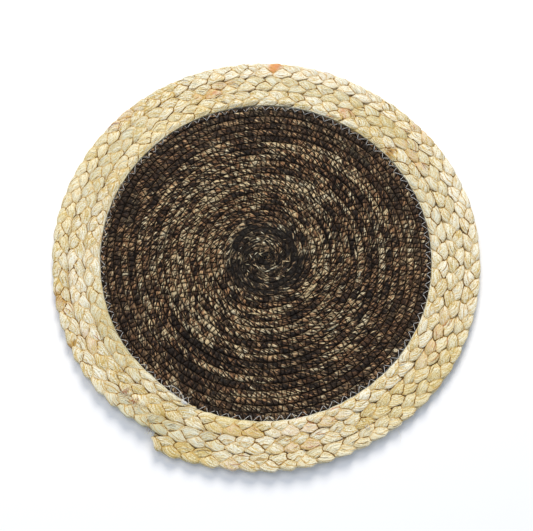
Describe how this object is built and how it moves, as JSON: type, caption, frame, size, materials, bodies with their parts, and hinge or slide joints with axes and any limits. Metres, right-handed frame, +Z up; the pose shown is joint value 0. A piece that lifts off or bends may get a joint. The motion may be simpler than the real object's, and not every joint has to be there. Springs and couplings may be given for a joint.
{
  "type": "round seagrass placemat",
  "caption": "Flat round table mat: a dark coiled seagrass disc sewn inside a wide pale rim of one spirally wound three-strand plait.",
  "frame": {"origin": "middle of the dark disc, on the flat underside that rests on the table", "axes": "+Z up, out of the face that is seen, +Y away from the viewer of the picture, and the plait's ends are near (-0.47, -0.88)"},
  "size_m": [0.3792, 0.3787, 0.0121],
  "materials": {
    "dyed_seagrass": "coiled seagrass cord dyed dark brown, held by black zigzag stitching",
    "dried_husk": "undyed dried husk in a three-strand plait, satin with lengthwise fibres"
  },
  "bodies": {
    "root": {"core_coil": "dyed_seagrass", "rim_plait": "dried_husk"}
  },
  "joints": []
}
